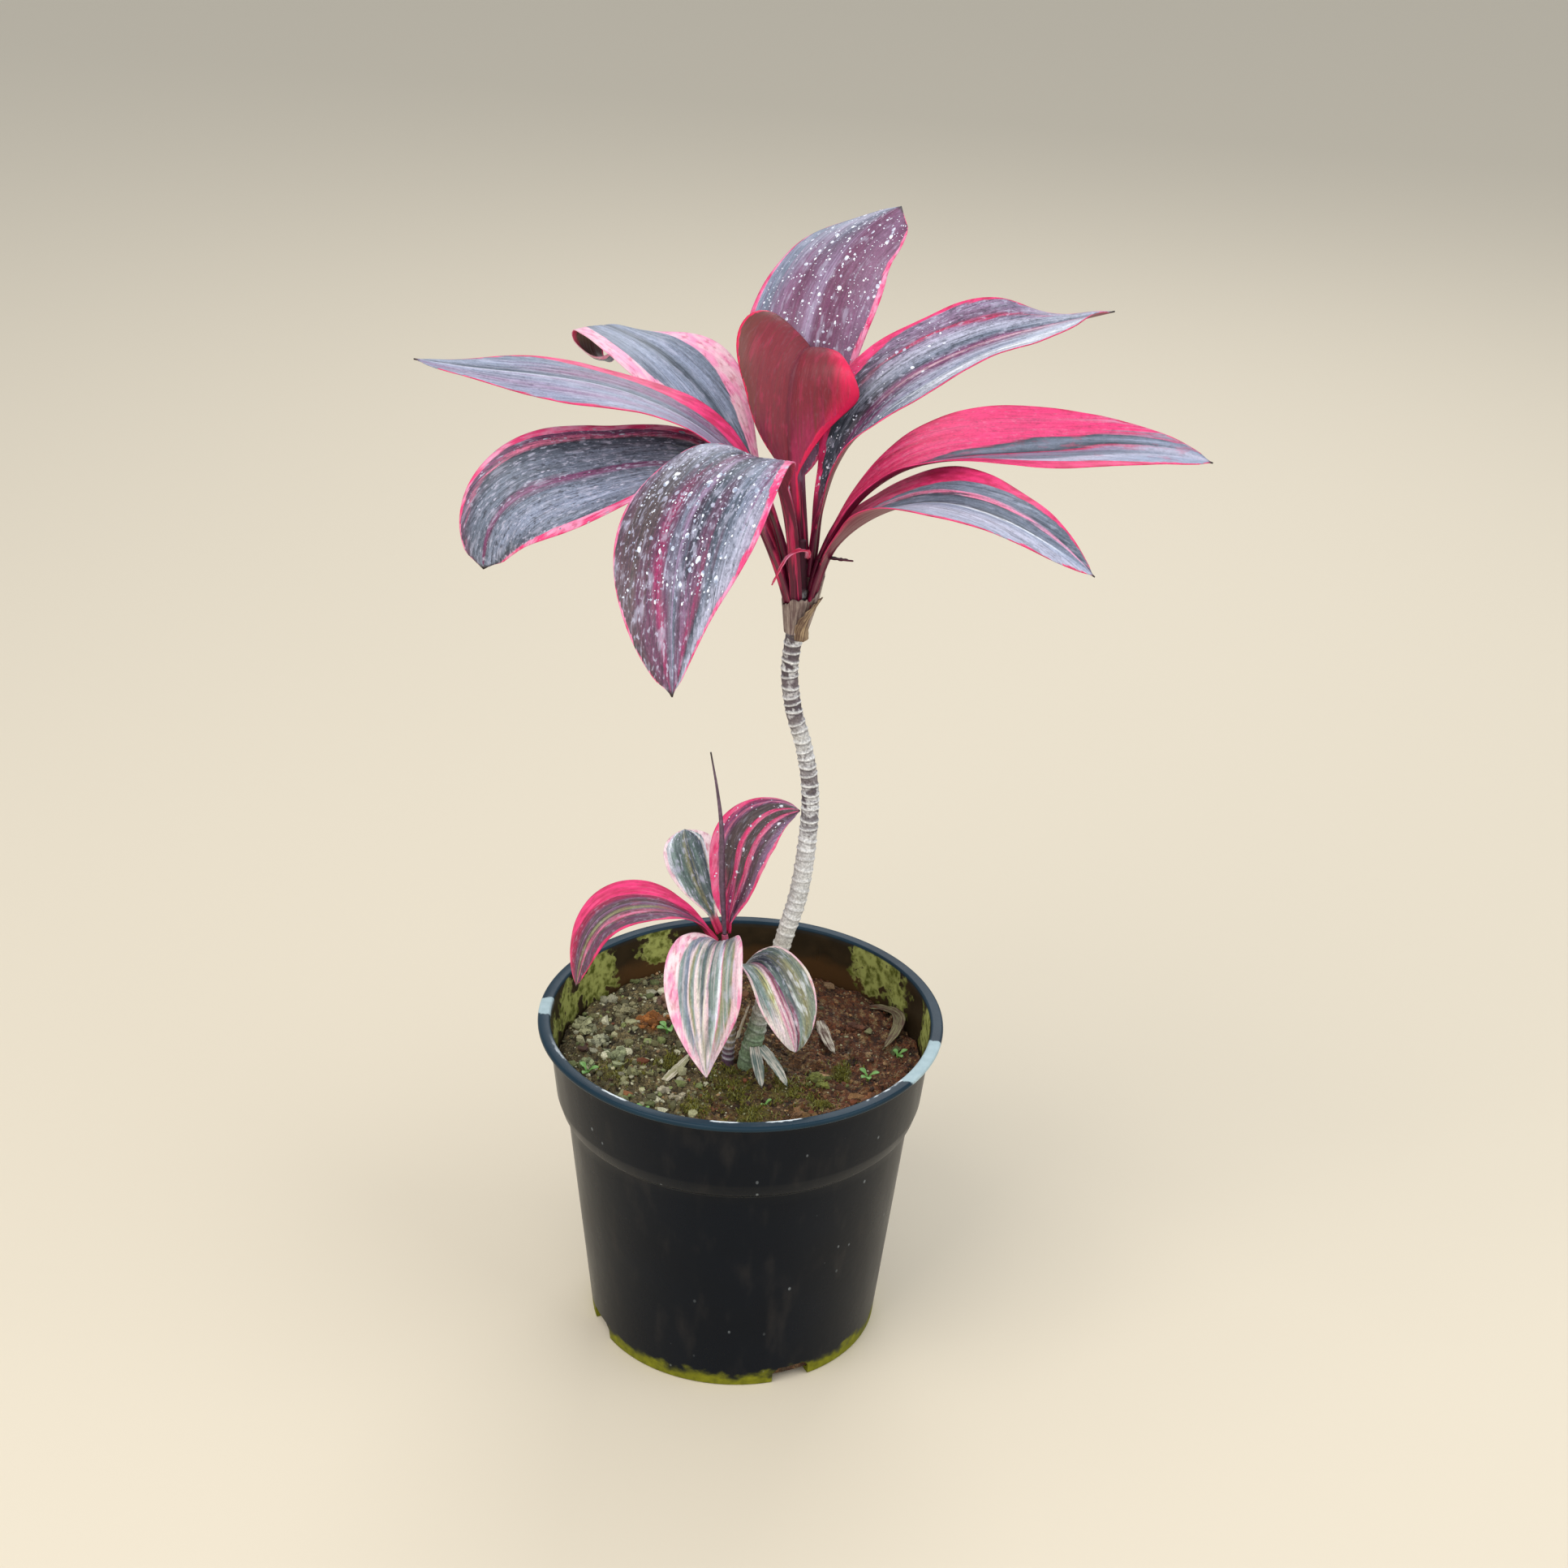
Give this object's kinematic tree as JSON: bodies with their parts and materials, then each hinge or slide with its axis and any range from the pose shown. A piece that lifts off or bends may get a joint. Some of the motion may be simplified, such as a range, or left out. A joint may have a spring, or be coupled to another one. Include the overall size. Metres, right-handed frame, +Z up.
{
  "type": "potted cordyline",
  "caption": "Young cordyline with striped pink-edged leaves on a bare ringed cane, and a small side shoot, in a round black nursery pot filled with soil.",
  "frame": {"origin": "middle of the pot's foot, on the surface that the pot stands on", "axes": "+Z up along the pot's axis, +X to the right and -Y towards the front as pictured"},
  "size_m": [0.3594, 0.2624, 0.5694],
  "materials": {
    "pot": "satin",
    "soil": "matte",
    "cane": "matte",
    "leaf": "satin",
    "red_leaf": "satin",
    "pale_leaf": "satin",
    "dry": "matte",
    "red": "matte"
  },
  "bodies": {
    "root": {"pot": "pot", "soil": "soil", "cane": "cane", "shoot_stem": "cane", "shoot_spear": "red_leaf", "leaf_back_up": "leaf", "leaf_front_upright": "red_leaf", "leaf_right_back": "leaf", "leaf_left_back": "leaf", "leaf_left": "leaf", "leaf_right": "red_leaf", "leaf_front": "leaf", "leaf_left_front": "leaf", "leaf_right_front": "leaf", "shoot_leaf_right_up": "red_leaf", "shoot_leaf_back": "leaf", "shoot_leaf_left": "red_leaf", "shoot_leaf_front": "pale_leaf", "shoot_leaf_right_front": "pale_leaf", "old_sheath": "dry", "dry_stub": "dry", "torn_strip": "red", "thorn_strip": "red", "shoot_dry_strip": "dry", "pale_tongue_1": "dry", "pale_tongue_2": "dry", "dry_strip_right": "dry", "dry_leaf_right": "dry", "dry_twig_left": "dry"}
  },
  "joints": []
}
